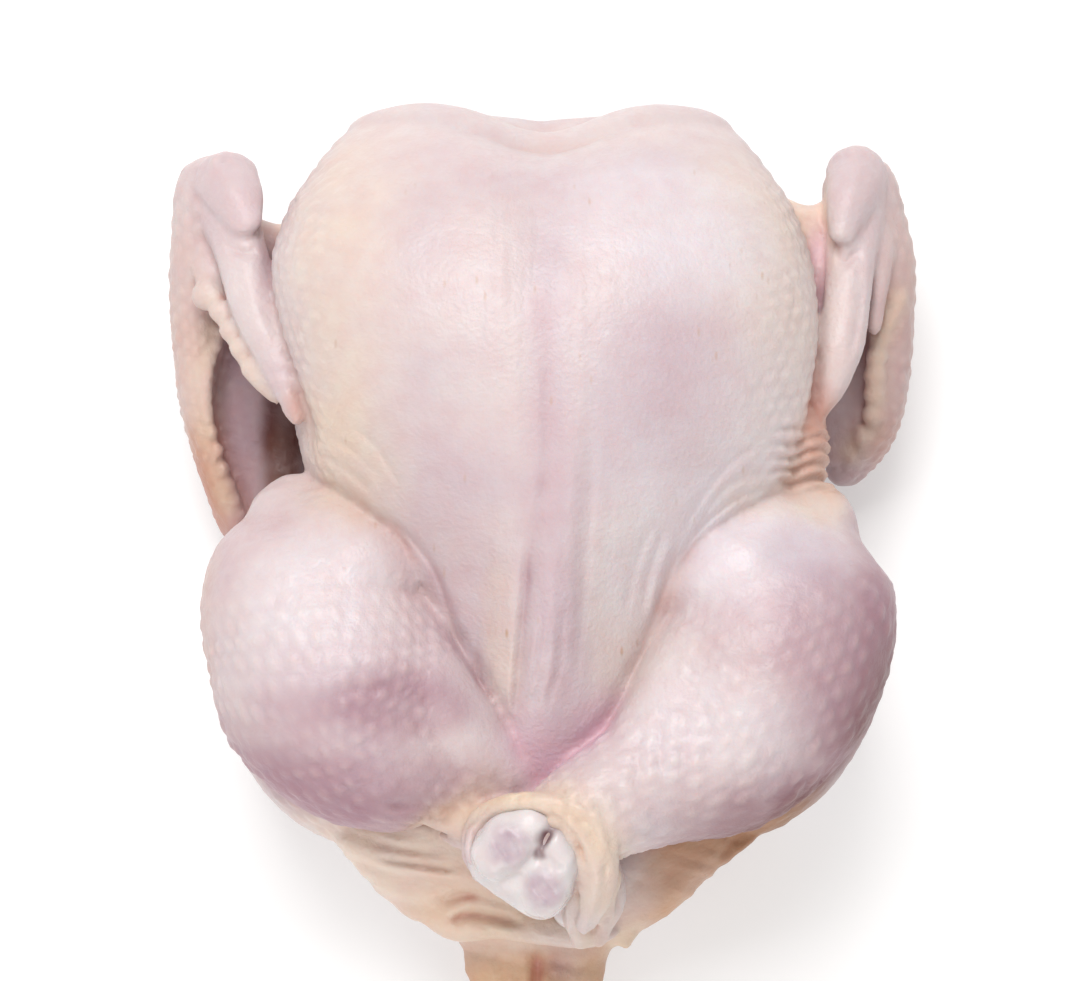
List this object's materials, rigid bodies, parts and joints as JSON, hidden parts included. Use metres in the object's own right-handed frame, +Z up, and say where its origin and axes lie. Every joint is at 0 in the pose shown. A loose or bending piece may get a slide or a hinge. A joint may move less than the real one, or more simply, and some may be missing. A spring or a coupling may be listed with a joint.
{
  "type": "whole raw chicken",
  "caption": "Whole raw plucked chicken lying on its back, breast up, wings folded behind the breast and drumsticks crossed at the hocks, with bare joint ends.",
  "frame": {"origin": "centre of the bounding box in X and Y, on the surface the bird rests on in Z", "axes": "+Z up, the breast on top; +Y towards the neck end and -Y towards the tail; +X to the right as seen from above"},
  "size_m": [0.2016, 0.2506, 0.109],
  "materials": {
    "skin": "moist, slightly translucent poultry skin, pale pink over the meat and yellower over the fat",
    "cartilage": "moist white cartilage with a purple-grey bruise on each rounded head"
  },
  "bodies": {
    "root": {"chicken": "skin", "knuckle_right": "cartilage", "knuckle_left": "cartilage"}
  },
  "joints": []
}
